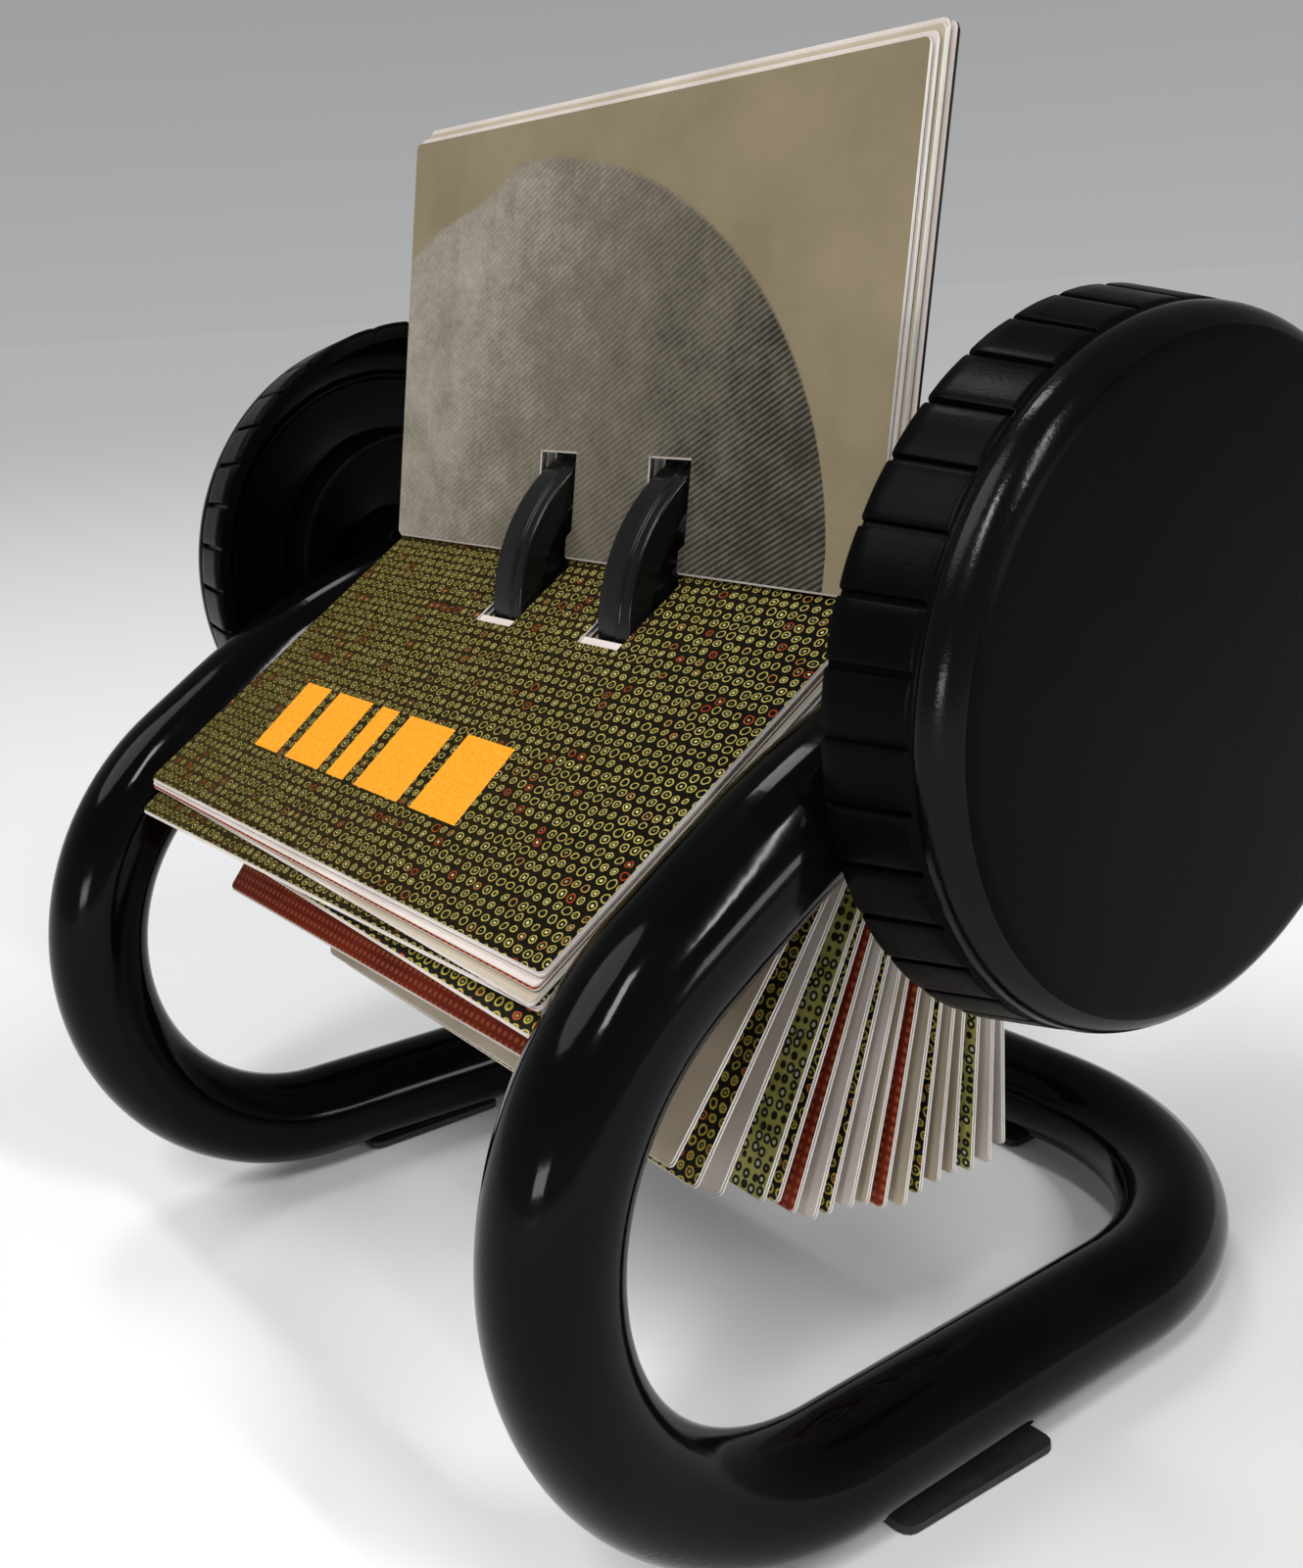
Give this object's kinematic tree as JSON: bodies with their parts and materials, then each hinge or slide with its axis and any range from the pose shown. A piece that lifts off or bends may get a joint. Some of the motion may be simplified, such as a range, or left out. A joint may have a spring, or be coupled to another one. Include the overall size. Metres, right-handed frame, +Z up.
{
  "type": "rotary card file",
  "caption": "Open desktop rotary card file: bent tube stand, ribbed knobs on a through axle and slotted picture cards clipped around two card wheels",
  "frame": {"origin": "on the table, under the middle of the overall box, 3.4 mm in front of the axle", "axes": "+X along the axle to the user's right, -Y towards the user, +Z up"},
  "size_m": [0.1628, 0.1458, 0.1645],
  "materials": {
    "tube_black_enamel": "gloss black enamel",
    "knob_black_plastic": "satin black",
    "wheel_black_plastic": "semi-gloss black",
    "axle_steel": "bright",
    "spring_steel": "bright",
    "bush_grey_plastic": "natural grey",
    "plug_black_plastic": "moulded",
    "foot_black_rubber": "fine grained",
    "card_tan": "coated print",
    "card_lattice": "coated print",
    "card_olive": "coated print",
    "card_red": "coated print",
    "card_dark": "coated print",
    "card_white": "uncoated"
  },
  "bodies": {
    "stand": {"tube_frame": "tube_black_enamel", "end_plug_right": "plug_black_plastic", "end_plug_left": "plug_black_plastic", "axle_bush_right": "bush_grey_plastic", "axle_bush_left": "bush_grey_plastic", "foot_strip_right": "foot_black_rubber", "foot_strip_left": "foot_black_rubber", "foot_strip_rear": "foot_black_rubber"},
    "rotor": {"axle_rod": "axle_steel", "thrust_washer_right": "axle_steel", "thrust_washer_left": "axle_steel", "spacer_middle": "wheel_black_plastic", "spacer_right": "wheel_black_plastic", "spacer_left": "wheel_black_plastic", "wave_spring_washer": "spring_steel", "card_wheel_left": "wheel_black_plastic", "card_wheel_right": "wheel_black_plastic", "knob_right": "knob_black_plastic", "knob_left": "knob_black_plastic"},
    "standing_cards": {"card_dome_print": "card_tan", "card_standing_2": "card_white", "card_standing_3": "card_tan", "card_standing_4": "card_white", "card_standing_5": "card_dark"},
    "lying_cards": {"card_lattice_print": "card_lattice", "card_lying_2": "card_white", "card_lying_3": "card_tan", "card_lying_4": "card_olive", "card_dark_print": "card_dark", "card_red_print": "card_red"},
    "hanging_cards": {"card_hanging_01": "card_tan", "card_hanging_02": "card_dark", "card_hanging_03": "card_white", "card_hanging_04": "card_olive", "card_hanging_05": "card_dark", "card_hanging_06": "card_red", "card_hanging_07": "card_white", "card_hanging_08": "card_dark", "card_hanging_09": "card_white", "card_hanging_10": "card_tan", "card_hanging_11": "card_red", "card_hanging_12": "card_tan", "card_hanging_13": "card_dark", "card_hanging_14": "card_tan", "card_hanging_15": "card_tan", "card_hanging_16": "card_olive", "card_hanging_17": "card_white", "card_hanging_18": "card_white"}
  },
  "joints": [
    {"name": "axle_turn", "type": "hinge", "parent": "stand", "child": "rotor", "pos_m": [0, 0.00337, 0.0983], "axis": [1, 0, 0], "continuous": true},
    {"name": "standing_slide_round", "type": "hinge", "parent": "rotor", "child": "standing_cards", "pos_m": [0, 0.00337, 0.0983], "axis": [1, 0, 0], "range_deg": [-100, 0]},
    {"name": "lying_slide_round", "type": "hinge", "parent": "rotor", "child": "lying_cards", "pos_m": [0, 0.00337, 0.0983], "axis": [1, 0, 0], "range_deg": [0, 5]},
    {"name": "hanging_slide_round", "type": "hinge", "parent": "rotor", "child": "hanging_cards", "pos_m": [0, 0.00337, 0.0983], "axis": [1, 0, 0], "range_deg": [-3, 25]}
  ]
}
